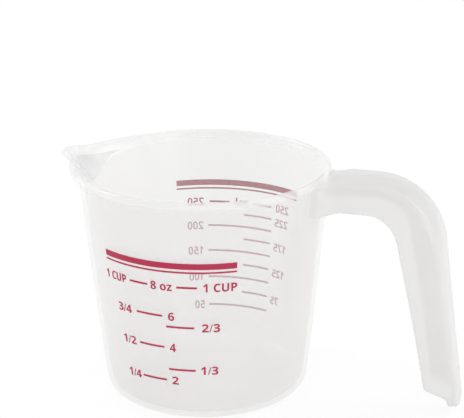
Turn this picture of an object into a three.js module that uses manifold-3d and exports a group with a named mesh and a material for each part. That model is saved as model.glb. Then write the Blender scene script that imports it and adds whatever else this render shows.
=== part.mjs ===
// A one-cup measuring cup, injection moulded in one piece of milky polypropylene and printed in red.
// Wall, floor, rim bead, pouring spout and hook handle are one moulding. The handle is a channel, open
// towards the cup, that leaves the rim, turns down and ends in a tongue just clear of the table.
// Each printed line stands at the height where the cup holds its volume, worked out from the inside.
// Millimetres, +Z up. The origin is the middle of the underside. The handle points to +X, the spout
// to -X.
import * as THREE from "three";
import { mergeVertices } from "three/addons/utils/BufferGeometryUtils.js";
import Module from "manifold-3d";

const wasm = await Module();
wasm.setup();

const { degToRad, clamp, lerp, smoothstep } = THREE.MathUtils;

// The cup
const cupHeight = 84.4;
const rimRadius = 45.4; // outside of the wall at the rim
const baseRadius = 36.8; // outside of the wall, carried straight down to the table
const wallBelly = 0.5; // how far the wall bows out beyond a straight cone, half way up
const wall = 1.7;
const floorThickness = 1.6;
const heelRadius = 5;
const innerHeelRadius = 4.2;

// The rim bead
const beadHeight = 2.4;
const beadProud = 0.7;
const beadFillet = 0.8; // height over which the wall swells into the bead
const lipRound = 0.8;

// The spout
const spoutReach = 55.7; // from the cup's axis to the outer edge of the beak
const spoutSkirt = 3.3; // how far the lip widens on either side of the beak
const spoutSpread = degToRad(44); // where the widened lip leaves the round rim, from the spout's middle
const beakSpread = degToRad(5.7);
const beakBluntness = 2.6; // 2 gives a bell-shaped beak, more gives a blunter one
const spoutDepth = 9.8; // from the rim down to the lowest point of the crease inside
const spoutFoot = 3.8; // the same, at the ends of the widened lip
const creaseSpread = degToRad(12.5);
const spoutCurve = 1.4; // 1 gives a straight underside, more one that curves out to the lip
const spoutUnderside = 1.4; // how much lower the pull starts on the outside
const spoutRise = 1.6; // how far the lip climbs beside the beak
const riseSpread = degToRad(15);
const pourDip = 0.6; // how far the lip dips again in the beak's middle
const dipSpread = degToRad(3);

// The handle
const handleRise = 1.1; // crown of the top run above the rim
const handleDip = 1.8; // how far the crown starts lower, where it leaves the rim
const topRun = 17.8; // from the rim's wall to the start of the elbow
const elbowRadius = 25.5;
const handleLean = degToRad(7.6); // how far the drop leans away from the cup
const tongueClearance = 2.2; // tongue's tip above the table
const topHalfWidth = 9.6;
const endHalfWidth = 6;
const rootFlare = 3; // extra half width where the handle leaves the rim
const flareLength = 7;
const webCrown = 0.4;
const cornerRadius = 2.8;
const channelWall = 1.7;
const rootDepth = 11.6; // crown to free edge, along the top run
const elbowDepth = 14.2; // the same, at the lower end of the elbow
const endDepth = 11.6; // the same, above the tongue
const tongueDepth = 4.2; // the same, round the tongue's end
const tongueRound = 5.6; // length over which the flanges shrink to the tongue's depth
const tongueStop = 4; // from there to the tip
const tipDepth = 2.1; // the channel's depth at the very tip
const tipCurl = 1.7; // how far the tip's outer face curls in towards the cup
const flangeSplay = degToRad(6);
const mostCornerShare = 0.6; // of the half width that a corner takes near the tip

// The print. Where a line starts and ends is in degrees from the middle of the front or the back.
const inkThickness = 0.15;
const inkGap = 0.1; // between the ink's back and the wall, which is a polygon
const lineHeight = 0.7;
const millilitresPerCup = 236.588;
const cupDashes = [[-18.3, -8.5], [6, 15.6]]; // either side of the one-cup row's middle word
const quarterDash = [-15.9, -1.9];
const thirdDash = [-0.2, 13.7];
const fullDashes = [[-17, -6.5], [6.5, 17]]; // either side of the 250 ml row's unit
const longDash = [-17.8, 18];
const shortDash = [-17.5, -1.5];

// How finely round shapes are cut
const columns = 88;
const heelSteps = 5;
const lipSteps = 3;
const plainRings = 4; // in the wall, from the heel to the spout's foot
const spoutRings = 5; // in the wall, from the spout's foot to the bead
const webSteps = 3;
const cornerSteps = 4;
const topSteps = 9;
const dropSteps = 5;
const endSteps = 10;
const crowding = 0.6; // how much closer the columns stand at the spout than at the sides
const elbowStepAngle = degToRad(8);
const inkStepAngle = degToRad(4);

const polypropylene = { color: 0xe6e4e1, roughness: 0.35, metalness: 0 };
const redInk = { color: 0xb8142f, roughness: 0.5, metalness: 0 };

// The wall's outer radius at a height.
function outerRadius(z) {
  const share = z / cupHeight;
  return lerp(baseRadius, rimRadius, share) + 4 * wallBelly * share * (1 - share);
}

// How far the wall leans outwards at a height, as an angle.
function wallLean(z) {
  const share = z / cupHeight;
  return Math.atan((rimRadius - baseRadius + 4 * wallBelly * (1 - 2 * share)) / cupHeight);
}

function arc(centreR, centreZ, radius, from, to, steps) {
  const points = [];
  for (let i = 0; i <= steps; i++) {
    const angle = lerp(from, to, i / steps);
    const across = centreR + radius * Math.cos(angle);
    points.push(new THREE.Vector2(across, centreZ + radius * Math.sin(angle)));
  }
  return points;
}

// A rounded corner between a flat floor at floorZ and the wall that stands on it.
function heelArc(floorZ, radius, wallRadius) {
  const centreZ = floorZ + radius;
  const lean = wallLean(centreZ);
  const centreR = wallRadius(centreZ - radius * Math.sin(lean)) - radius * Math.cos(lean);
  return arc(centreR, centreZ, radius, -Math.PI / 2, -lean, heelSteps);
}

const innerRadius = (z) => outerRadius(z) - wall;
const outerHeel = heelArc(0, heelRadius, outerRadius);
const innerHeel = heelArc(floorThickness, innerHeelRadius, innerRadius);

// The inside's radius at a height, with the rounded corner at the floor.
function insideRadius(z) {
  if (z >= innerHeel[heelSteps].y) return innerRadius(z);
  const drop = floorThickness + innerHeelRadius - z;
  return innerHeel[0].x + Math.sqrt(Math.max(innerHeelRadius ** 2 - drop ** 2, 0));
}

// Millilitres inside the cup below a height.
function volumeBelow(z) {
  const slices = 160;
  const step = (z - floorThickness) / slices;
  let volume = 0;
  for (let i = 0; i < slices; i++) {
    volume += Math.PI * insideRadius(floorThickness + (i + 0.5) * step) ** 2 * step;
  }
  return volume / 1000;
}

// The height at which the cup holds this many millilitres.
function levelOf(millilitres) {
  const tolerance = 0.001;
  let low = floorThickness;
  let high = cupHeight;
  while (high - low > tolerance) {
    const middle = (low + high) / 2;
    if (volumeBelow(middle) < millilitres) low = middle;
    else high = middle;
  }
  return low;
}

// Makes a closed geometry a solid, with its shared corners merged and the faces that this flattens
// left out.
function solid(geometry) {
  geometry.deleteAttribute("normal");
  geometry.deleteAttribute("uv");
  const merged = mergeVertices(geometry);
  const corners = merged.index.array;
  const triVerts = [];
  for (let i = 0; i < corners.length; i += 3) {
    const [a, b, c] = corners.slice(i, i + 3);
    if (a !== b && b !== c && c !== a) triVerts.push(a, b, c);
  }
  const vertProperties = merged.attributes.position.array;
  const mesh = new wasm.Mesh({ numProp: 3, vertProperties, triVerts: new Uint32Array(triVerts) });
  return new wasm.Manifold(mesh);
}

function geometryOf(made) {
  const { vertProperties, triVerts } = made.getMesh();
  const geometry = new THREE.BufferGeometry();
  geometry.setAttribute("position", new THREE.BufferAttribute(vertProperties, 3));
  geometry.setIndex(new THREE.BufferAttribute(triVerts, 1));
  return geometry;
}

// The wall between its rounded corner and the bead, as points of the profile. The spout is pulled out
// of the rings above spoutBottom.
const spoutBottom = cupHeight - spoutDepth - spoutUnderside;
const spoutTop = cupHeight - beadHeight - beadFillet;

function wallRings(fromZ, radiusAt) {
  const points = [];
  for (let i = 1; i < plainRings; i++) {
    const z = lerp(fromZ, spoutBottom, i / plainRings);
    points.push(new THREE.Vector2(radiusAt(z), z));
  }
  for (let i = 0; i <= spoutRings; i++) {
    const z = lerp(spoutBottom, spoutTop, i / spoutRings);
    points.push(new THREE.Vector2(radiusAt(z), z));
  }
  return points;
}

function outerProfile() {
  const beadRadius = rimRadius + beadProud;
  return [
    new THREE.Vector2(0, 0),
    ...outerHeel,
    ...wallRings(outerHeel[heelSteps].y, outerRadius),
    new THREE.Vector2(beadRadius, cupHeight - beadHeight),
    ...arc(beadRadius - lipRound, cupHeight - lipRound, lipRound, 0, Math.PI / 2, lipSteps),
  ];
}

function innerProfile() {
  const radius = innerRadius(cupHeight);
  return [
    ...arc(radius + lipRound, cupHeight - lipRound, lipRound, Math.PI / 2, Math.PI, lipSteps),
    ...wallRings(innerHeel[heelSteps].y, innerRadius).reverse(),
    ...innerHeel.slice().reverse(),
    new THREE.Vector2(0, floorThickness),
  ];
}

// How far the lip is pulled out of round, at an angle from the spout's middle.
function spoutPull(angle) {
  const share = clamp(Math.abs(angle) / spoutSpread, 0, 1);
  const beak = spoutReach - (rimRadius + beadProud) - spoutSkirt;
  const beakShare = Math.exp(-(Math.abs(angle / beakSpread) ** beakBluntness));
  return spoutSkirt * Math.cos((share * Math.PI) / 2) + beak * beakShare;
}

function spoutLift(angle) {
  const rise = spoutRise * Math.exp(-((angle / riseSpread) ** 2));
  return rise - pourDip * Math.exp(-((angle / dipSpread) ** 2));
}

// Moves one point of the round wall to its place in the spout. The rings below the bead are moved up
// first, so that the lowest of them runs along the crease.
function pulled(radius, angle, z, isOuter) {
  if (z < spoutBottom) return { radius, z };
  const crease = lerp(spoutFoot, spoutDepth, Math.exp(-((angle / creaseSpread) ** 2)));
  const depth = isOuter ? crease + spoutUnderside : crease;
  const ringShare = (z - spoutBottom) / (spoutTop - spoutBottom);
  const height = z < spoutTop ? lerp(cupHeight - depth, spoutTop, ringShare) : z;
  const share = clamp((height - cupHeight + depth) / (depth - beadHeight), 0, 1) ** spoutCurve;
  return {
    radius: radius + outerRadius(height) - outerRadius(z) + share * spoutPull(angle),
    z: height + share * spoutLift(angle),
  };
}

// The cup: one closed profile turned round the axis, with its columns crowded towards the spout,
// where the wall is then pulled out into the lip and beak.
function cupSolid() {
  const outer = outerProfile();
  const profile = [...outer, ...innerProfile()];
  const geometry = new THREE.LatheGeometry(profile, columns).rotateX(Math.PI / 2);
  const position = geometry.attributes.position;
  for (let i = 0; i < position.count; i++) {
    const isOuter = i % profile.length < outer.length;
    const fromSpout = Math.atan2(-position.getY(i), -position.getX(i));
    const angle = fromSpout - crowding * Math.sin(fromSpout);
    const radius = Math.hypot(position.getX(i), position.getY(i));
    const point = pulled(radius, angle, position.getZ(i), isOuter);
    position.setXYZ(i, -point.radius * Math.cos(angle), -point.radius * Math.sin(angle), point.z);
  }
  return solid(geometry);
}

// Stations along the middle of the handle's outer face, from inside the wall to the tongue's tip.
// turn is how far the handle has turned down. endWall is how far the inner skin stays behind the outer.
function handleStations() {
  const stations = [];
  const top = cupHeight + handleRise;
  const start = rimRadius - wall - rootFlare - cornerRadius;
  const bend = rimRadius + topRun;
  for (let i = 0; i < topSteps; i++) {
    const x = lerp(start, bend, i / topSteps);
    const fromRim = x - rimRadius;
    const dip = handleDip * (1 - smoothstep(fromRim, 0, topRun / 2));
    const flare = rootFlare * (1 - clamp(fromRim / flareLength, 0, 1)) ** 2;
    const halfWidth = topHalfWidth + flare;
    stations.push({ x, z: top - dip, turn: 0, halfWidth, depth: rootDepth, endWall: 0 });
  }

  const fullTurn = Math.PI / 2 - handleLean;
  const elbowSteps = Math.ceil(fullTurn / elbowStepAngle);
  for (let i = 0; i <= elbowSteps; i++) {
    const share = i / elbowSteps;
    const turn = share * fullTurn;
    stations.push({
      x: bend + elbowRadius * Math.sin(turn),
      z: top - elbowRadius * (1 - Math.cos(turn)),
      turn,
      halfWidth: topHalfWidth,
      depth: lerp(rootDepth, elbowDepth, smoothstep(share, 0, 1)),
      endWall: 0,
    });
  }

  const elbowEnd = stations[stations.length - 1];
  const dropLength = (elbowEnd.z - tongueClearance) / Math.cos(handleLean);
  const plainLength = dropLength - tongueStop - tongueRound;
  const places = [];
  for (let i = 1; i <= dropSteps; i++) places.push((plainLength * i) / dropSteps);
  for (let i = 1; i <= endSteps; i++) {
    const crowded = Math.sin(((i / (endSteps + 1)) * Math.PI) / 2);
    places.push(lerp(plainLength, dropLength, crowded));
  }
  for (const along of places) {
    const share = along / dropLength;
    const fromTip = dropLength - along;
    const roundShare = clamp(1 - fromTip / endHalfWidth, 0, 1);
    const plainDepth = lerp(elbowDepth, endDepth, Math.sin((share * Math.PI) / 2));
    const tipRound = Math.sqrt(1 - clamp(1 - fromTip / tongueStop, 0, 1) ** 2);
    const curl = tipCurl * (1 - tipRound);
    const scoopDepth = lerp(tipDepth, tongueDepth, tipRound);
    stations.push({
      x: elbowEnd.x + along * Math.sin(handleLean) - curl * Math.cos(handleLean),
      z: elbowEnd.z - along * Math.cos(handleLean) - curl * Math.sin(handleLean),
      turn: fullTurn,
      halfWidth: lerp(topHalfWidth, endHalfWidth, share) * Math.sqrt(1 - roundShare ** 2),
      depth: lerp(scoopDepth, plainDepth, smoothstep(fromTip, tongueStop, tongueStop + tongueRound)),
      endWall: channelWall * roundShare,
    });
  }
  return stations;
}

// Half of the channel's section, from the crown to the free edge. across is the distance from the
// middle, below the distance inwards from the crown. inset is 0 for the outer skin, channelWall for
// the inner.
function halfSection(halfWidth, depth, inset) {
  const corner = Math.min(cornerRadius, halfWidth * mostCornerShare);
  const crown = (webCrown * halfWidth) / topHalfWidth;
  const flat = halfWidth - corner;
  const points = [];
  for (let i = 0; i <= webSteps; i++) {
    const share = i / webSteps;
    points.push({ across: flat * share, below: crown * share ** 2 + inset });
  }
  const radius = corner * (1 - inset / cornerRadius);
  for (let i = 1; i <= cornerSteps; i++) {
    const angle = (Math.PI / 2 - flangeSplay) * (i / cornerSteps);
    const below = crown + inset + radius * (1 - Math.cos(angle));
    points.push({ across: flat + radius * Math.sin(angle), below });
  }
  const last = points[points.length - 1];
  points.push({ across: last.across + (depth - last.below) * Math.tan(flangeSplay), below: depth });
  return points;
}

function channelSkin(station, inset, back) {
  const half = halfSection(station.halfWidth, station.depth, inset);
  const mirrored = half.slice(1).reverse().map(({ across, below }) => ({ across: -across, below }));
  const cos = Math.cos(station.turn);
  const sin = Math.sin(station.turn);
  return [...mirrored, ...half].map(({ across, below }) => new THREE.Vector3(
    station.x - below * sin - back * cos,
    across,
    station.z - below * cos + back * sin,
  ));
}

// The handle: the channel's section lofted along its stations, as two skins joined at every edge.
function handleSolid() {
  const rings = handleStations().map((station) => [
    ...channelSkin(station, 0, 0),
    ...channelSkin(station, channelWall, station.endWall).reverse(),
  ]);
  const size = rings[0].length;
  const positions = rings.flat().flatMap((point) => point.toArray());
  const index = [];
  const quad = (a, b, c, d) => index.push(a, c, b, a, d, c);
  for (let ring = 0; ring < rings.length - 1; ring++) {
    for (let i = 0; i < size; i++) {
      const next = (i + 1) % size;
      quad(ring * size + i, ring * size + next, (ring + 1) * size + next, (ring + 1) * size + i);
    }
  }
  const last = (rings.length - 1) * size;
  for (let i = 0; i < size / 2 - 1; i++) {
    const across = size - 1 - i;
    quad(i, across, across - 1, i + 1);
    quad(last + i, last + i + 1, last + across - 1, last + across);
  }
  const geometry = new THREE.BufferGeometry();
  geometry.setAttribute("position", new THREE.Float32BufferAttribute(positions, 3));
  geometry.setIndex(index);
  return solid(geometry);
}

// Everything inside the middle of the wall, up past the handle: it trims the handle's root.
function trimSolid() {
  const top = cupHeight + elbowRadius;
  const middle = (z) => outerRadius(z) - wall / 2;
  const heights = [0, cupHeight - 2 * rootDepth, cupHeight - rootDepth, cupHeight];
  const profile = [
    new THREE.Vector2(0, 0),
    ...heights.map((z) => new THREE.Vector2(middle(z), z)),
    new THREE.Vector2(middle(cupHeight), top),
    new THREE.Vector2(0, top),
  ];
  return solid(new THREE.LatheGeometry(profile, columns).rotateX(Math.PI / 2));
}

function named(name, geometry, look) {
  geometry.computeVertexNormals();
  const mesh = new THREE.Mesh(geometry, new THREE.MeshStandardMaterial(look));
  mesh.name = name;
  return mesh;
}

// A printed line: a thin bar bent round the wall. printMiddle is an angle in degrees from +X.
function printedLine(name, millilitres, printMiddle, [from, to]) {
  const steps = Math.ceil(degToRad(to - from) / inkStepAngle);
  const geometry = new THREE.BoxGeometry(to - from, inkThickness, lineHeight, steps, 1, 1);
  geometry.translate((from + to) / 2, -inkGap - inkThickness / 2, levelOf(millilitres));
  const position = geometry.attributes.position;
  for (let i = 0; i < position.count; i++) {
    const angle = degToRad(printMiddle + position.getX(i));
    const radius = outerRadius(position.getZ(i)) - position.getY(i);
    position.setXYZ(i, radius * Math.cos(angle), radius * Math.sin(angle), position.getZ(i));
  }
  return named(name, geometryOf(solid(geometry)), redInk);
}

// The front print counts in cups. Its angles grow towards the handle.
function frontPrint() {
  const print = new THREE.Group();
  const line = (name, cups, dash) => {
    print.add(printedLine(name, cups * millilitresPerCup, -90, dash));
  };
  line("front_one_cup_line_left", 1, cupDashes[0]);
  line("front_one_cup_line_right", 1, cupDashes[1]);
  line("front_three_quarter_cup_line", 3 / 4, quarterDash);
  line("front_two_thirds_cup_line", 2 / 3, thirdDash);
  line("front_half_cup_line", 1 / 2, quarterDash);
  line("front_third_cup_line", 1 / 3, thirdDash);
  line("front_quarter_cup_line", 1 / 4, quarterDash);
  return print;
}

// The back print counts in millilitres. Its angles grow towards the spout.
function backPrint() {
  const print = new THREE.Group();
  const line = (name, millilitres, dash) => {
    print.add(printedLine(name, millilitres, 90, dash));
  };
  line("back_250_ml_line_left", 250, fullDashes[0]);
  line("back_250_ml_line_right", 250, fullDashes[1]);
  for (const millilitres of [50, 100, 150, 200]) {
    line(`back_${millilitres}_ml_line`, millilitres, longDash);
    line(`back_${millilitres + 25}_ml_line`, millilitres + 25, shortDash);
  }
  return print;
}

const moulding = cupSolid().add(handleSolid().subtract(trimSolid()));

const measuringCup = new THREE.Group();
measuringCup.add(named("cup_moulding", geometryOf(moulding), polypropylene));
measuringCup.add(frontPrint());
measuringCup.add(backPrint());

export default measuringCup;
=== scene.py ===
# %% [markdown]
# # A one-cup measuring cup in milky plastic
# The real cup is one injection moulding: a tapered wall, a floor, a beaded rim, a pouring spout and
# a hook handle, all in one piece of polypropylene. Red ink is screen-printed on its front and back.
# The frame holds the solids. Here the moulding is made again with finer curves, the print
# gets its figures, and both get the materials of the real thing.

# %% Load the frame
from math import atan, atan2, cos, exp, hypot, pi, radians, sin, sqrt, tan

import bpy
from mathutils import Matrix, Vector


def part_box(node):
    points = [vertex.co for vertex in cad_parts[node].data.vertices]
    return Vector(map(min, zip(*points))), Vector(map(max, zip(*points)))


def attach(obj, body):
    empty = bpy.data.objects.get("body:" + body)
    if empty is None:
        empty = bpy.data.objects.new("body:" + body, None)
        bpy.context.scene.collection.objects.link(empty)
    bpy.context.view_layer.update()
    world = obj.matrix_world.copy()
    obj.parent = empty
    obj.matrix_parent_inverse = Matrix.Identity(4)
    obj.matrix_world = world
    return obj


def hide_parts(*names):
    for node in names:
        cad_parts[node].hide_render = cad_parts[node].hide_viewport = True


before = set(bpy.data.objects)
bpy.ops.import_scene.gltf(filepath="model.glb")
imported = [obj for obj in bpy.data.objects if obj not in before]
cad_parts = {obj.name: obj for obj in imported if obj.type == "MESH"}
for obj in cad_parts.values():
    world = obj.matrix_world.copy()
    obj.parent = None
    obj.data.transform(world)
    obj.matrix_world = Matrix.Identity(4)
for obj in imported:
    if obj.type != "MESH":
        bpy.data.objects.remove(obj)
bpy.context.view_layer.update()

MM = 0.001

# %% [markdown]
# ## Small helpers
# Operators act on whatever is selected, and the loaded solids arrive selected, so each step first
# deselects everything. A finished piece keeps its object at the origin and its place in its mesh.


# %% Selection and finishing
def deselect_all():
    if bpy.context.object and bpy.context.object.mode != "OBJECT":
        bpy.ops.object.mode_set(mode="OBJECT")
    bpy.ops.object.select_all(action="DESELECT")


def pick(piece):
    deselect_all()
    piece.select_set(True)
    bpy.context.view_layer.objects.active = piece


def settle(piece, name, crease_angle):
    """Names the piece, moves its place into its mesh and smooths edges below the crease angle."""
    pick(piece)
    bpy.ops.object.transform_apply(location=True, rotation=True, scale=True)
    bpy.ops.object.shade_smooth_by_angle(angle=radians(crease_angle))
    piece.name = name
    piece.data.name = name
    print(name, len(piece.data.polygons), "faces")


# %% [markdown]
# ## The camera
# The photograph was taken from about 60 cm away, from above the rim and to the right of the front.
# The place was worked out from the rim's ellipse, the printed rows and the handle. The view is
# shifted slightly downwards, so that the whole base is in the frame.

# %% Camera
CAMERA_PLACE = Vector((0.18601, -0.51950, 0.25543))
CAMERA_AZIMUTH = radians(18.6606)
CAMERA_ELEVATION = radians(18.5358)
CAMERA_ROLL = radians(-0.6629)
FOCAL_PIXELS = 1600
IMAGE_WIDTH = 464
SHIFT_PIXELS = 9

deselect_all()
bpy.ops.object.camera_add(location=CAMERA_PLACE)
camera = bpy.context.object
camera.name = "photo_camera"
forward = Vector((
    -cos(CAMERA_ELEVATION) * sin(CAMERA_AZIMUTH),
    cos(CAMERA_ELEVATION) * cos(CAMERA_AZIMUTH),
    -sin(CAMERA_ELEVATION),
))
level_right = Vector((cos(CAMERA_AZIMUTH), sin(CAMERA_AZIMUTH), 0))
level_up = level_right.cross(forward)
right = level_right * cos(CAMERA_ROLL) + level_up * sin(CAMERA_ROLL)
up = level_up * cos(CAMERA_ROLL) - level_right * sin(CAMERA_ROLL)
turned = Matrix((right, up, -forward)).transposed().to_4x4()
camera.matrix_world = Matrix.Translation(CAMERA_PLACE) @ turned
camera.data.sensor_width = 36
camera.data.lens = FOCAL_PIXELS * camera.data.sensor_width / IMAGE_WIDTH
camera.data.shift_y = -SHIFT_PIXELS / IMAGE_WIDTH
bpy.context.scene.camera = camera
print("lens", round(camera.data.lens, 1), "mm")

# %% [markdown]
# ## The wall's line
# The wall is nearly a cone that bows out by half a millimetre. These sizes and functions shape the
# moulding, and the print uses them again, because it lies on the wall.

# %% The wall
CUP_HEIGHT = 84.4
RIM_RADIUS = 45.4
BASE_RADIUS = 36.8
WALL_BELLY = 0.5
WALL = 1.7
FLOOR = 1.6
HEEL_RADIUS = 5.0
INNER_HEEL_RADIUS = 4.2
BEAD_HEIGHT = 2.4
BEAD_PROUD = 0.7
BEAD_FILLET = 0.8
BEAD_ROUND = 0.4
BEAD_STEP = 0.05
LIP_ROUND = 0.8


def mix(a, b, share):
    return a + (b - a) * share


def clamp(value):
    return max(0.0, min(1.0, value))


def smooth(value):
    value = clamp(value)
    return value * value * (3 - 2 * value)


def outer_radius(z):
    share = z / CUP_HEIGHT
    return mix(BASE_RADIUS, RIM_RADIUS, share) + 4 * WALL_BELLY * share * (1 - share)


def wall_lean(z):
    share = z / CUP_HEIGHT
    return atan((RIM_RADIUS - BASE_RADIUS + 4 * WALL_BELLY * (1 - 2 * share)) / CUP_HEIGHT)


print("radius halfway up:", round(outer_radius(CUP_HEIGHT / 2), 2), "mm")


# %% [markdown]
# ## The profile of wall and floor
# A turned shape is drawn as half a section first. The points go from the middle of the underside
# round the heel, up the outside, over the rim's bead and down the inside to the middle of the
# floor. Molten plastic flows in at the middle of the underside. That gate leaves a small pip, set
# in a shallow dish so that the cup still stands flat.

# %% Sizes of the spout's zone
SPOUT_DEPTH = 9.8
SPOUT_UNDERSIDE = 1.4
SPOUT_BOTTOM = CUP_HEIGHT - SPOUT_DEPTH - SPOUT_UNDERSIDE
SPOUT_TOP = CUP_HEIGHT - BEAD_HEIGHT - BEAD_FILLET
print("the spout bends the wall from", round(SPOUT_BOTTOM, 1), "to", round(SPOUT_TOP, 1), "mm")


# %% Half section
def arc(centre_r, centre_z, radius, start, end, steps):
    angles = [mix(start, end, i / steps) for i in range(steps + 1)]
    return [(centre_r + radius * cos(a), centre_z + radius * sin(a)) for a in angles]


def heel(floor_z, radius, inset):
    centre_z = floor_z + radius
    lean = wall_lean(centre_z)
    centre_r = outer_radius(centre_z - radius * sin(lean)) - inset - radius * cos(lean)
    return arc(centre_r, centre_z, radius, -pi / 2, -lean, 10)


def wall_points(from_z, inset):
    heights = [mix(from_z, SPOUT_BOTTOM, i / 9) for i in range(1, 9)]
    heights += [mix(SPOUT_BOTTOM, SPOUT_TOP, i / 16) for i in range(17)]
    return [(outer_radius(z) - inset, z) for z in heights]


bead_radius = RIM_RADIUS + BEAD_PROUD
bead_bottom = CUP_HEIGHT - BEAD_HEIGHT
underside = [(0, 0.12), (0.6, 0.12), (0.8, 0.25), (1.3, 0.25), (1.6, 0.14), (1.8, 0.04), (2.1, 0)]
underside += [(12, 0), (20, 0), (27, 0)]
outside = [
    *underside,
    *heel(0, HEEL_RADIUS, 0),
    *wall_points(HEEL_RADIUS, 0),
    (RIM_RADIUS, bead_bottom - BEAD_ROUND),
    (RIM_RADIUS + BEAD_ROUND / 2, bead_bottom - BEAD_STEP),
    *arc(bead_radius - BEAD_ROUND, bead_bottom + BEAD_STEP + BEAD_ROUND, BEAD_ROUND, -pi / 2.5, 0, 4),
    *arc(bead_radius - LIP_ROUND, CUP_HEIGHT - LIP_ROUND, LIP_ROUND, 0, pi / 2, 7),
]
inside = [
    *arc(RIM_RADIUS - WALL + LIP_ROUND, CUP_HEIGHT - LIP_ROUND, LIP_ROUND, pi / 2, pi, 7),
    *wall_points(FLOOR + INNER_HEEL_RADIUS, WALL)[::-1],
    *heel(FLOOR, INNER_HEEL_RADIUS, WALL)[::-1],
    *[(radius, FLOOR) for radius in (26, 18, 9, 0)],
]
profile = outside + inside
print("profile points:", len(profile))

# %% [markdown]
# ## Turning the profile
# The profile is drawn by extruding a single vertex from point to point, and then spun round the
# axis. Spinning leaves a doubled seam and doubled points on the axis, which are merged.

# %% Spin the wall
COLUMNS = 240

deselect_all()
bpy.ops.mesh.primitive_plane_add(size=MM, location=(0, 0, 0))
cup = bpy.context.object
bpy.ops.object.mode_set(mode="EDIT")
bpy.ops.mesh.select_all(action="SELECT")
bpy.ops.mesh.merge(type="CENTER")
place = (0.0, 0.0)
for point in profile:
    step = ((point[0] - place[0]) * MM, 0, (point[1] - place[1]) * MM)
    bpy.ops.mesh.extrude_region_move(TRANSFORM_OT_translate={"value": step})
    place = point
bpy.ops.mesh.select_all(action="SELECT")
bpy.ops.mesh.spin(steps=COLUMNS, angle=2 * pi, center=(0, 0, 0), axis=(0, 0, 1))
bpy.ops.mesh.select_all(action="SELECT")
bpy.ops.mesh.remove_doubles(threshold=0.004 * MM)
bpy.ops.mesh.select_all(action="SELECT")
bpy.ops.mesh.delete_loose(use_verts=True, use_edges=True, use_faces=False)
bpy.ops.mesh.select_all(action="SELECT")
bpy.ops.mesh.normals_make_consistent(inside=False)
bpy.ops.object.mode_set(mode="OBJECT")
print("spun:", len(cup.data.vertices), "points,", len(cup.data.polygons), "faces")

# %% [markdown]
# ## Pulling out the spout
# In the mould the lip widens over 44 degrees on either side of the spout, and a narrow beak stands
# out in the middle. Below it the wall turns outwards from a curved crease. The columns are first
# crowded towards the spout, where the small curves are, and then each point above the crease is
# moved outwards. Proportional editing could pull a spout too, but a formula keeps the wall's
# thickness and follows the crease that shows in the photograph. The rim is thicker than the wall, so
# its faces are marked for a denser and lighter material before they move; the lighter tint is a
# painted highlight. The spout is no thicker than the wall, but its faces are marked for a darker,
# denser material, which is painted shade in the spout's hollow. The spout's zone ends at the crease
# and runs out into the bead on either side. A mesh stores its points a little rounded, so the ring
# of points at the crease is still taken along when it lies a hair too low.

# %% Spout
SPOUT_REACH = 55.7
SPOUT_SKIRT = 3.3
SPOUT_SPREAD = radians(44)
BEAK_SPREAD = radians(5.7)
BEAK_BLUNTNESS = 2.6
SPOUT_FOOT = 3.8
CREASE_SPREAD = radians(12.5)
SPOUT_CURVE = 1.4
SPOUT_RISE = 1.6
RISE_SPREAD = radians(15)
POUR_DIP = 0.6
DIP_SPREAD = radians(3)
CROWDING = 0.6
SPOUT_ZONE = radians(22)
STORED_ROUNDING = 0.01


def spout_pull(angle):
    skirt = SPOUT_SKIRT * cos(clamp(abs(angle) / SPOUT_SPREAD) * pi / 2)
    beak = SPOUT_REACH - bead_radius - SPOUT_SKIRT
    return skirt + beak * exp(-abs(angle / BEAK_SPREAD) ** BEAK_BLUNTNESS)


def spout_lift(angle):
    rise = SPOUT_RISE * exp(-(angle / RISE_SPREAD) ** 2)
    return rise - POUR_DIP * exp(-(angle / DIP_SPREAD) ** 2)


def into_spout(radius, angle, z, is_outer):
    if z < SPOUT_BOTTOM - STORED_ROUNDING:
        return radius, z
    crease = mix(SPOUT_FOOT, SPOUT_DEPTH, exp(-(angle / CREASE_SPREAD) ** 2))
    depth = crease + SPOUT_UNDERSIDE if is_outer else crease
    height = z
    if z < SPOUT_TOP:
        ring_share = (z - SPOUT_BOTTOM) / (SPOUT_TOP - SPOUT_BOTTOM)
        height = mix(CUP_HEIGHT - depth, SPOUT_TOP, ring_share)
    share = clamp((height - CUP_HEIGHT + depth) / (depth - BEAD_HEIGHT)) ** SPOUT_CURVE
    moved = radius + outer_radius(height) - outer_radius(z)
    return moved + share * spout_pull(angle), height + share * spout_lift(angle)


print("the beak moves outwards by", round(spout_pull(0), 1), "mm")


# %% Thick rim and the spout's painted shade
IN_WALL, IN_RIM, IN_SHADED_SPOUT = 0, 1, 2
for _ in (IN_WALL, IN_RIM, IN_SHADED_SPOUT):
    cup.data.materials.append(None)
for face in cup.data.polygons:
    x, y, z = face.center / MM
    from_spout = atan2(-y, -x)
    angle = from_spout - CROWDING * sin(from_spout)
    # The rim's faces get the denser plastic for its thickness, with a lighter tint that is a painted
    # highlight.
    if z > SPOUT_TOP:
        face.material_index = IN_RIM
    # The spout's zone gets the darker, denser plastic: painted shade in the spout's hollow.
    elif z > mix(SPOUT_TOP, SPOUT_BOTTOM, exp(-(angle / SPOUT_ZONE) ** 4)):
        face.material_index = IN_SHADED_SPOUT
print("faces in thick places:", sum(face.material_index > 0 for face in cup.data.polygons))

# %% Move the points
for vertex in cup.data.vertices:
    x, y, z = vertex.co / MM
    from_spout = atan2(-y, -x)
    angle = from_spout - CROWDING * sin(from_spout)
    is_outer = hypot(x, y) > outer_radius(z) - WALL / 2
    radius, z = into_spout(hypot(x, y), angle, z, is_outer)
    vertex.co = Vector((-radius * cos(angle), -radius * sin(angle), z)) * MM
cup.data.update()
print("spout reaches x =", round(min(v.co.x for v in cup.data.vertices) / MM, 1), "mm")

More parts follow.
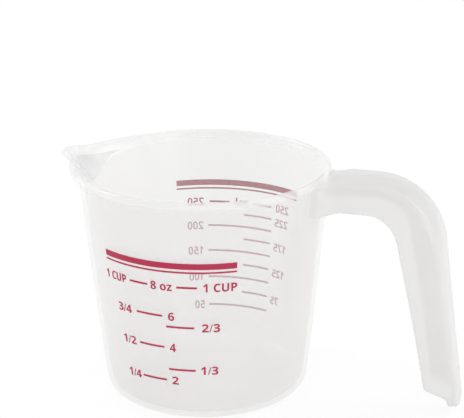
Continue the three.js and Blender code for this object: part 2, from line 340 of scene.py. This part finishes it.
# %% [markdown]
# ## The handle's line
# The handle is a channel, open towards the cup. It leaves the rim, runs level, turns down through a
# wide elbow and leans slightly outwards. Its flanges shrink near the table and leave a rounded
# tongue, curled in at the tip. Each station holds a point on the middle of the outer face, how far
# the handle has turned down there, and the section's sizes.

# %% Handle sizes
HANDLE_TOP = CUP_HEIGHT + 1.1
HANDLE_DIP = 1.8
TOP_RUN = 17.8
ELBOW_RADIUS = 25.5
HANDLE_LEAN = radians(7.6)
TONGUE_CLEARANCE = 2.2
TOP_HALF_WIDTH = 9.6
END_HALF_WIDTH = 6.0
ROOT_FLARE = 3.0
FLARE_LENGTH = 7.0
WEB_CROWN = 0.4
CORNER_RADIUS = 2.8
ROOT_DEPTH = 11.6
ELBOW_DEPTH = 14.2
END_DEPTH = 11.6
TONGUE_DEPTH = 4.2
TONGUE_ROUND = 5.6
TONGUE_STOP = 4.0
TIP_DEPTH = 2.1
TIP_CURL = 1.7
FLANGE_SPLAY = radians(6)
FULL_TURN = pi / 2 - HANDLE_LEAN
ROOT_INSET = 1.2
TOP_STEPS, ELBOW_STEPS, DROP_STEPS, TONGUE_STEPS = 18, 24, 10, 30
TONGUE_CROWDING = pi / 2 * TONGUE_STEPS / (TONGUE_STEPS + 1)


# %% Handle stations
def top_station(x):
    from_rim = x - RIM_RADIUS
    z = HANDLE_TOP - HANDLE_DIP * (1 - smooth(from_rim / (TOP_RUN / 2)))
    flare = ROOT_FLARE * (1 - clamp(from_rim / FLARE_LENGTH)) ** 2
    return x, z, 0.0, TOP_HALF_WIDTH + flare, ROOT_DEPTH, 0.0


def elbow_station(share):
    turn = share * FULL_TURN
    x = RIM_RADIUS + TOP_RUN + ELBOW_RADIUS * sin(turn)
    z = HANDLE_TOP - ELBOW_RADIUS * (1 - cos(turn))
    return x, z, turn, TOP_HALF_WIDTH, mix(ROOT_DEPTH, ELBOW_DEPTH, smooth(share)), 0.0


def drop_station(share, length):
    end_x, end_z = elbow_station(1)[:2]
    from_tip = (1 - share) * length
    rounding = clamp(1 - from_tip / END_HALF_WIDTH)
    tip_round = sqrt(1 - clamp(1 - from_tip / TONGUE_STOP) ** 2)
    curl = TIP_CURL * (1 - tip_round)
    plain_depth = mix(ELBOW_DEPTH, END_DEPTH, sin(share * pi / 2))
    scoop_depth = mix(TIP_DEPTH, TONGUE_DEPTH, tip_round)
    depth = mix(scoop_depth, plain_depth, smooth((from_tip - TONGUE_STOP) / TONGUE_ROUND))
    half_width = mix(TOP_HALF_WIDTH, END_HALF_WIDTH, share) * sqrt(1 - rounding ** 2)
    x = end_x + share * length * sin(HANDLE_LEAN) - curl * cos(HANDLE_LEAN)
    z = end_z - share * length * cos(HANDLE_LEAN) - curl * sin(HANDLE_LEAN)
    return x, z, FULL_TURN, half_width, depth, WALL * rounding


drop_length = (elbow_station(1)[1] - TONGUE_CLEARANCE) / cos(HANDLE_LEAN)
tongue_share = 1 - (TONGUE_STOP + TONGUE_ROUND) / drop_length
root_x = RIM_RADIUS - ROOT_INSET
stations = [top_station(mix(root_x, RIM_RADIUS + TOP_RUN, i / TOP_STEPS)) for i in range(TOP_STEPS)]
stations += [elbow_station(i / ELBOW_STEPS) for i in range(ELBOW_STEPS + 1)]
stations += [drop_station(tongue_share * i / DROP_STEPS, drop_length) for i in range(1, DROP_STEPS)]
for i in range(TONGUE_STEPS + 1):
    crowded = sin(TONGUE_CROWDING * i / TONGUE_STEPS)
    stations.append(drop_station(mix(tongue_share, 1, crowded), drop_length))
print("stations:", len(stations), "drop:", round(drop_length, 1), "mm")

# %% [markdown]
# ## The handle's section
# Half of each skin runs from the middle of the web over the rounded corner to the free edge. The
# free edges are rounded, because a sharp edge would hurt the hand and stick in the mould.

# %% Channel section
FLAT_STEPS, CORNER_STEPS, FLANGE_STEPS = 5, 8, 6


def half_skin(half_width, depth, inset):
    corner = min(CORNER_RADIUS, half_width * 0.6)
    crown = WEB_CROWN * half_width / TOP_HALF_WIDTH
    flat = half_width - corner
    points = [
        (flat * i / FLAT_STEPS, crown * (i / FLAT_STEPS) ** 2 + inset) for i in range(FLAT_STEPS + 1)
    ]
    radius = corner * (1 - inset / CORNER_RADIUS)
    for i in range(1, CORNER_STEPS + 1):
        angle = (pi / 2 - FLANGE_SPLAY) * i / CORNER_STEPS
        points.append((flat + radius * sin(angle), crown + inset + radius * (1 - cos(angle))))
    across, below = points[-1]
    for i in range(1, FLANGE_STEPS + 1):
        lower = mix(below, depth, i / FLANGE_STEPS)
        points.append((across + (lower - below) * tan(FLANGE_SPLAY), lower))
    return points


def section(half_width, depth, end_wall):
    """The closed outline as (across, below, back) points."""
    outer = half_skin(half_width, depth, 0)
    inner = half_skin(half_width, depth, WALL)
    middle = (outer[-1][0] + inner[-1][0]) / 2
    rounding = (outer[-1][0] - inner[-1][0]) / 2
    outer[-1] = (outer[-1][0], depth - rounding)
    inner[-1] = (inner[-1][0], depth - rounding)
    edge = arc(middle, depth - rounding, rounding, 0, pi, 4)[1:-1]
    half = [(a, b, 0.0) for a, b in outer]
    half += [(a, b, end_wall / 2) for a, b in edge]
    half += [(a, b, end_wall) for a, b in inner[::-1]]
    return half + [(-a, b, back) for a, b, back in half[-2:0:-1]]


ring_size = len(section(TOP_HALF_WIDTH, ROOT_DEPTH, 0))
print("points in a section:", ring_size)

# %% [markdown]
# ## Shaping the handle
# A flat grid is the sheet that the channel is rolled from: its rows become the stations and its
# columns the section's points. The first row follows the middle of the cup's wall, so that the
# handle grows out of it. The sheet's long edges meet and are merged, and both ends are filled.

# %% Roll the sheet into the channel
deselect_all()
rows = len(stations) - 1
bpy.ops.mesh.primitive_grid_add(x_subdivisions=ring_size, y_subdivisions=rows, size=1)
handle = bpy.context.object
for vertex in handle.data.vertices:
    column = round((vertex.co.x + 0.5) * ring_size) % ring_size
    row = round((vertex.co.y + 0.5) * rows)
    x, z, turn, half_width, depth, end_wall = stations[row]
    across, below, back = section(half_width, depth, end_wall)[column]
    x -= below * sin(turn) + back * cos(turn)
    z -= below * cos(turn) - back * sin(turn)
    if row == 0:
        x = sqrt((outer_radius(min(z, CUP_HEIGHT)) - WALL / 2) ** 2 - across ** 2)
    vertex.co = Vector((x, across, z)) * MM
handle.data.update()

# %% Close the channel
pick(handle)
bpy.ops.object.mode_set(mode="EDIT")
bpy.ops.mesh.select_all(action="SELECT")
bpy.ops.mesh.remove_doubles(threshold=0.002 * MM)
bpy.ops.mesh.select_all(action="DESELECT")
bpy.ops.mesh.select_mode(type="EDGE")
bpy.ops.mesh.select_non_manifold()
bpy.ops.mesh.fill()
bpy.ops.mesh.select_mode(type="VERT")
bpy.ops.mesh.select_all(action="SELECT")
bpy.ops.mesh.normals_make_consistent(inside=False)
bpy.ops.object.mode_set(mode="OBJECT")
print("handle:", len(handle.data.polygons), "faces")

# %% [markdown]
# ## Colours and nodes
# Colours are written as sRGB hex values, as a colour picker shows them, and one function makes them
# linear. One more function adds a node, sets it and links it.


# %% Material helpers
def colour(hex_code):
    channels = [int(hex_code[i:i + 2], 16) / 255 for i in (1, 3, 5)]
    linear = [c / 12.92 if c <= 0.04045 else ((c + 0.055) / 1.055) ** 2.4 for c in channels]
    return (*linear, 1.0)


def empty_nodes(owner):
    owner.use_nodes = True
    owner.node_tree.nodes.clear()
    return owner.node_tree


def add(tree, kind, inputs, **settings):
    """Adds a node. An input is named or numbered, and its value is plain or another node's output."""
    node = tree.nodes.new(kind)
    for key, value in settings.items():
        setattr(node, key, value)
    for key, value in inputs.items():
        if isinstance(value, bpy.types.NodeSocket):
            tree.links.new(value, node.inputs[key])
        else:
            node.inputs[key].default_value = value
    return node


def per_mm(size):
    """The scale of a texture whose features are about this many millimetres wide."""
    return 1 / (size * MM)


# %% [markdown]
# ## Milky polypropylene
# Polypropylene is cloudy because it is partly crystalline. A thin wall lets the background through
# with a white veil over it. So the surface is a pale plastic with a low opacity and a soft gloss.
# The mould's steel was lightly polished. It leaves a faint waviness of some millimetres and a finer
# grain. The rim and the handle are thicker, and light goes back and forth in them, so that they look
# denser and whiter. A surface can't know that, so they get the same plastic with more opacity, the
# handle most of all. The rim's tint is also lighter, a painted highlight that draws it as a bright
# ring. The spout is no thicker than the wall, but its faces get more opacity and a darker tint, a
# painted shade that darkens the spout's hollow. The thin wall gets a slightly duller tint.
# Opacity thins the reflections too, which a real surface doesn't do. A higher index of refraction
# than the plastic's own 1.49 makes up for it.


# %% Polypropylene
def milky_polypropylene(name, opacity, index, dull, bright):
    material = bpy.data.materials.new(name)
    tree = empty_nodes(material)
    spot = add(tree, "ShaderNodeTexCoord", {}).outputs["Object"]
    flow = add(tree, "ShaderNodeTexNoise", {"Vector": spot, "Scale": per_mm(7), "Detail": 2})
    grain = add(tree, "ShaderNodeTexNoise", {"Vector": spot, "Scale": per_mm(0.8), "Detail": 2})
    cloud = add(tree, "ShaderNodeTexNoise", {"Vector": spot, "Scale": per_mm(22), "Detail": 2})
    waves = add(tree, "ShaderNodeBump", {
        "Height": flow.outputs["Fac"], "Strength": 0.15, "Distance": 0.4 * MM,
    })
    fine_waves = add(tree, "ShaderNodeBump", {
        "Height": grain.outputs["Fac"], "Normal": waves.outputs["Normal"],
        "Strength": 0.06, "Distance": 0.08 * MM,
    })
    tint = add(tree, "ShaderNodeValToRGB", {"Fac": cloud.outputs["Fac"]})
    tint.color_ramp.elements[0].color = colour(dull)
    tint.color_ramp.elements[1].color = colour(bright)
    plastic = add(tree, "ShaderNodeBsdfPrincipled", {
        "Base Color": tint.outputs["Color"], "Normal": fine_waves.outputs["Normal"],
        "Roughness": 0.26, "IOR": index, "Alpha": opacity,
    })
    add(tree, "ShaderNodeOutputMaterial", {"Surface": plastic.outputs["BSDF"]})
    return material


wall_plastic = milky_polypropylene("milky_polypropylene_wall", 0.22, 2.0, "#D8D6D5", "#E1DFDE")
# The rim's higher opacity stands for its thickness; its lighter tint is a painted highlight.
dense_rim_painted_light_plastic = milky_polypropylene("milky_polypropylene_rim_dense_painted_light", 0.4, 1.8, "#E9E8E7", "#F1F0F0")
# The spout's darker tint and higher opacity are painted shade in its hollow, not thickness.
spout_painted_shade_plastic = milky_polypropylene("milky_polypropylene_spout_painted_shade", 0.4, 1.55, "#D2D1D1", "#DADADA")
handle_plastic = milky_polypropylene("milky_polypropylene_handle", 0.6, 1.6, "#E2E1E0", "#EAE9E9")

# %% [markdown]
# ## One moulding
# On the real cup handle and wall are one piece of plastic with nothing between them. A boolean
# union joins the two shapes and removes what would lie inside the wall. In a see-through plastic
# such hidden faces would show as a darker patch. Each face keeps the opacity of its own part. Where
# the two surfaces cross, the union leaves a few doubled points, and they are merged.

# %% Join handle and cup
cup.data.materials[IN_WALL] = wall_plastic
cup.data.materials[IN_RIM] = dense_rim_painted_light_plastic
cup.data.materials[IN_SHADED_SPOUT] = spout_painted_shade_plastic
handle.data.materials.append(handle_plastic)
pick(cup)
union = cup.modifiers.new("grow_together", "BOOLEAN")
union.operation = "UNION"
union.solver = "EXACT"
union.material_mode = "TRANSFER"
union.object = handle
bpy.ops.object.modifier_apply(modifier=union.name)
bpy.data.objects.remove(handle, do_unlink=True)
pick(cup)
bpy.ops.object.mode_set(mode="EDIT")
bpy.ops.mesh.select_all(action="SELECT")
bpy.ops.mesh.remove_doubles(threshold=0.002 * MM)
bpy.ops.mesh.normals_make_consistent(inside=False)
bpy.ops.object.mode_set(mode="OBJECT")
settle(cup, "fine_moulding", 38)
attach(cup, "root")
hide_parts("cup_moulding")
print("materials:", [material.name for material in cup.data.materials])

# %% [markdown]
# ## Red screen-printing ink
# The print is a thin film of red ink, nearly matt, a little uneven where the screen's mesh left
# less ink. The lines of the frame keep their shapes and get this ink.

# %% Ink
ink = bpy.data.materials.new("red_screen_ink")
tree = empty_nodes(ink)
spot = add(tree, "ShaderNodeTexCoord", {}).outputs["Object"]
mesh_marks = add(tree, "ShaderNodeTexNoise", {"Vector": spot, "Scale": per_mm(0.35), "Detail": 2})
ink_tint = add(tree, "ShaderNodeValToRGB", {"Fac": mesh_marks.outputs["Fac"]})
ink_tint.color_ramp.elements[0].color = colour("#A10F3A")
ink_tint.color_ramp.elements[1].color = colour("#B81A48")
ink_bump = add(tree, "ShaderNodeBump", {
    "Height": mesh_marks.outputs["Fac"], "Strength": 0.2, "Distance": 0.03 * MM,
})
ink_surface = add(tree, "ShaderNodeBsdfPrincipled", {
    "Base Color": ink_tint.outputs["Color"], "Normal": ink_bump.outputs["Normal"],
    "Roughness": 0.55, "IOR": 1.5,
})
add(tree, "ShaderNodeOutputMaterial", {"Surface": ink_surface.outputs["BSDF"]})
lines = [node for name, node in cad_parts.items() if name != "cup_moulding"]
for line in lines:
    line.data.materials.clear()
    line.data.materials.append(ink)
print("lines inked:", len(lines))

# %% [markdown]
# ## Wrapping print on the wall
# Flat print is drawn in a plane and then wrapped round the wall, as the printing screen rolls the
# ink on. An angle counts from the middle of the print, to the right as the reader sees it. The film
# lies a tenth of a millimetre off the wall, like the frame's lines.

# %% Wrapping
INK_GAP = 0.1
INK_THICKNESS = 0.12
FRONT, BACK = -1, 1


def on_wall(angle, z, proud, side):
    """The front faces -Y, so its reader's right is +X. For the back both are the other way."""
    radius = outer_radius(z) + INK_GAP + proud * INK_THICKNESS
    return Vector((-side * radius * sin(angle), side * radius * cos(angle), z)) * MM


print("front print at mid height:", on_wall(0, CUP_HEIGHT / 2, 0, FRONT))


def dress_print(piece, name):
    pick(piece)
    bpy.ops.object.mode_set(mode="EDIT")
    bpy.ops.mesh.select_all(action="SELECT")
    bpy.ops.mesh.remove_doubles(threshold=0.0005 * MM)
    bpy.ops.mesh.normals_make_consistent(inside=False)
    bpy.ops.object.mode_set(mode="OBJECT")
    settle(piece, name, 30)
    piece.data.materials.clear()
    piece.data.materials.append(ink)
    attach(piece, "root")


# %% [markdown]
# ## Figures and units
# Beside the lines stand plain figures: fractions of a cup and ounces on the front, millilitres on
# the back. Each is a text turned into a mesh and stretched to the width that it has on the wall.
# The bold sans-serif shapes for figures and letters have code points of their own. With them the
# figure one has its flag, and the strokes are as heavy as printed ones. A thin shape with a thickened
# outline looks much the same, but it crosses itself in tight corners and its normals get mixed up.

# %% Figures
CAP_HEIGHT = 3.1
BOLD_ZERO, BOLD_A, BOLD_SMALL_A = 0x1D7EC, 0x1D5D4, 0x1D5EE


def bold(words):
    shapes = ""
    for sign in words:
        if sign.isdigit():
            sign = chr(BOLD_ZERO + int(sign))
        elif sign.isupper():
            sign = chr(BOLD_A + ord(sign) - ord("A"))
        elif sign.islower():
            sign = chr(BOLD_SMALL_A + ord(sign) - ord("a"))
        shapes += sign
    return shapes


def flat_text(words):
    deselect_all()
    bpy.ops.object.text_add(location=(0, 0, 0))
    text = bpy.context.object.data
    text.body = bold(words)
    text.extrude = 0.5
    text.resolution_u = 6
    bpy.ops.object.convert(target="MESH")
    return bpy.context.object


measure = flat_text("1")
FONT_CAP = max(v.co.y for v in measure.data.vertices)
bpy.data.objects.remove(measure, do_unlink=True)
print("figure height in the font:", round(FONT_CAP, 3))


def figure(words, left, right, middle_z, side):
    label = flat_text(words)
    across = [v.co.x for v in label.data.vertices]
    for vertex in label.data.vertices:
        share = (vertex.co.x - min(across)) / (max(across) - min(across))
        z = middle_z + (vertex.co.y / FONT_CAP - 0.5) * CAP_HEIGHT
        vertex.co = on_wall(radians(mix(left, right, share)), z, vertex.co.z + 0.5, side)
    return label


def print_row(name, side, line, *figures, lower=0.0):
    """Prints the figures level with one of the frame's lines, and joins them into one piece."""
    low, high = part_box(line)
    middle_z = (low.z + high.z) / 2 / MM - lower
    labels = [figure(words, left, right, middle_z, side) for words, left, right in figures]
    pick(labels[0])
    for label in labels[1:]:
        label.select_set(True)
    if len(labels) > 1:
        bpy.ops.object.join()
    dress_print(labels[0], name)


# %% Front figures
one_cup = [("1 CUP", -34.3, -20.6), ("8 oz", -6.8, 3.7), ("1 CUP", 18.4, 34.2)]
print_row("front_one_cup_figures", FRONT, "front_one_cup_line_left", *one_cup)
three_quarter = [("3/4", -27.8, -19.2), ("6", 1.1, 4.1)]
print_row("front_three_quarter_figures", FRONT, "front_three_quarter_cup_line", *three_quarter)
print_row("front_two_thirds_figures", FRONT, "front_two_thirds_cup_line", ("2/3", 17.4, 26.2))
half = [("1/2", -26.9, -18.4), ("4", 0.9, 4.1)]
print_row("front_half_figures", FRONT, "front_half_cup_line", *half)
print_row("front_third_figures", FRONT, "front_third_cup_line", ("1/3", 16.5, 25.3))
quarter = [("1/4", -25.8, -17.4), ("2", 1.1, 4.5)]
print_row("front_quarter_figures", FRONT, "front_quarter_cup_line", *quarter)

# %% Back figures
for amount in (50, 100, 150, 200):
    right = 26.2 if amount == 50 else 29.0
    print_row(f"back_{amount}_ml_figures", BACK, f"back_{amount}_ml_line", (str(amount), 20.5, right))
for amount in (75, 125, 175, 225):
    left = -25.7 if amount == 75 else -28.5
    label = (str(amount), left, -20.0)
    print_row(f"back_{amount}_ml_figures", BACK, f"back_{amount}_ml_line", label, lower=1.0)
full = [("250", -28.5, -20.0), ("ml", -3.2, 3.2), ("250", 20.0, 28.5)]
print_row("back_250_ml_figures", BACK, "back_250_ml_line_left", *full)

# %% [markdown]
# ## Double rules
# Above the figures stands a plain double rule on both sides, a thick bar over a thin one. Each bar
# is a grid, so that it can bend round the wall, extruded to the film's thickness.

# %% Rules
THIN_BAR = 0.6
THICK_BAR = 2.2
BAR_SPACE = 0.9


def bar(left, right, low, high, side):
    deselect_all()
    bpy.ops.mesh.primitive_grid_add(x_subdivisions=60, y_subdivisions=4, size=1)
    piece = bpy.context.object
    bpy.ops.object.mode_set(mode="EDIT")
    bpy.ops.mesh.select_all(action="SELECT")
    bpy.ops.mesh.extrude_region_move(TRANSFORM_OT_translate={"value": (0, 0, 1)})
    bpy.ops.object.mode_set(mode="OBJECT")
    for vertex in piece.data.vertices:
        angle = radians(mix(left, right, vertex.co.x + 0.5))
        z = mix(low, high, vertex.co.y + 0.5)
        vertex.co = on_wall(angle, z, vertex.co.z, side)
    return piece


def double_rule(name, side, left, right, low):
    thick_low = low + THIN_BAR + BAR_SPACE
    thick = bar(left, right, thick_low, thick_low + THICK_BAR, side)
    thin = bar(left, right, low, low + THIN_BAR, side)
    pick(thick)
    thin.select_set(True)
    bpy.ops.object.join()
    dress_print(thick, name)


double_rule("front_double_rule", FRONT, -33, 34, 58.5)
double_rule("back_double_rule", BACK, -34, 34, 60.7)

# %% [markdown]
# ## Floor, room and light
# The cup stands on white paper that runs out of the picture. Paper and room look white to the
# camera and light the cup only moderately, so that the pale plastic never burns out. The paper lies
# a hair below the cup, because two surfaces in one plane show streaks through a clear base. A small
# lamp at the upper left lights up the near rim, and a wide one behind at the right the spout and the
# far rim. A low lamp at the right draws the bright line on the handle's elbow, and a large soft one
# in front fills in.

# %% Floor
PAPER_GAP = 0.05
paper = bpy.data.materials.new("white_paper")
tree = empty_nodes(paper)
rays = add(tree, "ShaderNodeLightPath", {})
matt = add(tree, "ShaderNodeBsdfDiffuse", {"Color": colour("#FAFAFA")})
white = add(tree, "ShaderNodeEmission", {"Color": (1, 1, 1, 1), "Strength": 1.0})
share = add(tree, "ShaderNodeMath", {0: rays.outputs["Is Camera Ray"], 1: 0.8}, operation="MULTIPLY")
seen = add(tree, "ShaderNodeMixShader", {0: share.outputs[0], 1: matt.outputs[0], 2: white.outputs[0]})
add(tree, "ShaderNodeOutputMaterial", {"Surface": seen.outputs[0]})

deselect_all()
bpy.ops.mesh.primitive_plane_add(size=8, location=(0, 0, -PAPER_GAP * MM))
floor = bpy.context.object
floor.name = "floor"
floor.data.materials.append(paper)
print("paper:", round(floor.dimensions.x, 1), "m wide")

# %% Room
world = bpy.data.worlds.new("white_room")
bpy.context.scene.world = world
tree = empty_nodes(world)
rays = add(tree, "ShaderNodeLightPath", {})
room = add(tree, "ShaderNodeBackground", {"Color": (1, 1, 1, 1), "Strength": 0.8})
backdrop = add(tree, "ShaderNodeBackground", {"Color": (1, 1, 1, 1), "Strength": 1.0})
camera_share = rays.outputs["Is Camera Ray"]
seen = add(tree, "ShaderNodeMixShader", {0: camera_share, 1: room.outputs[0], 2: backdrop.outputs[0]})
add(tree, "ShaderNodeOutputWorld", {"Surface": seen.outputs[0]})
print("nodes in the room's light:", len(tree.nodes))


# %% Lamps
def soft_lamp(name, place, size, watts):
    deselect_all()
    bpy.ops.object.light_add(type="AREA", location=place)
    lamp = bpy.context.object
    lamp.name = name
    lamp.data.shape = "DISK"
    lamp.data.size = size
    lamp.data.energy = watts
    aim = Vector((0, 0, 40 * MM)) - Vector(place)
    lamp.rotation_euler = aim.to_track_quat("-Z", "Y").to_euler()
    print(name, "shines with", watts, "W")


soft_lamp("left_lamp", (-1.05, 0.05, 0.8), 0.35, 4.0)
soft_lamp("right_lamp", (0.85, 0.5, 0.75), 0.7, 3.0)
soft_lamp("low_lamp", (1.0, -0.75, 0.2), 0.4, 2.0)
soft_lamp("front_lamp", (0.1, -1.2, 1.0), 0.9, 2.2)

# %% [markdown]
# ## View settings
# A look through the cup passes eight or more plastic surfaces, and the handle adds more, so the
# number of see-through surfaces that a ray may pass is raised.

# %% View settings
bpy.context.scene.view_settings.view_transform = "Standard"
bpy.context.scene.cycles.transparent_max_bounces = 32
print("view transform:", bpy.context.scene.view_settings.view_transform)
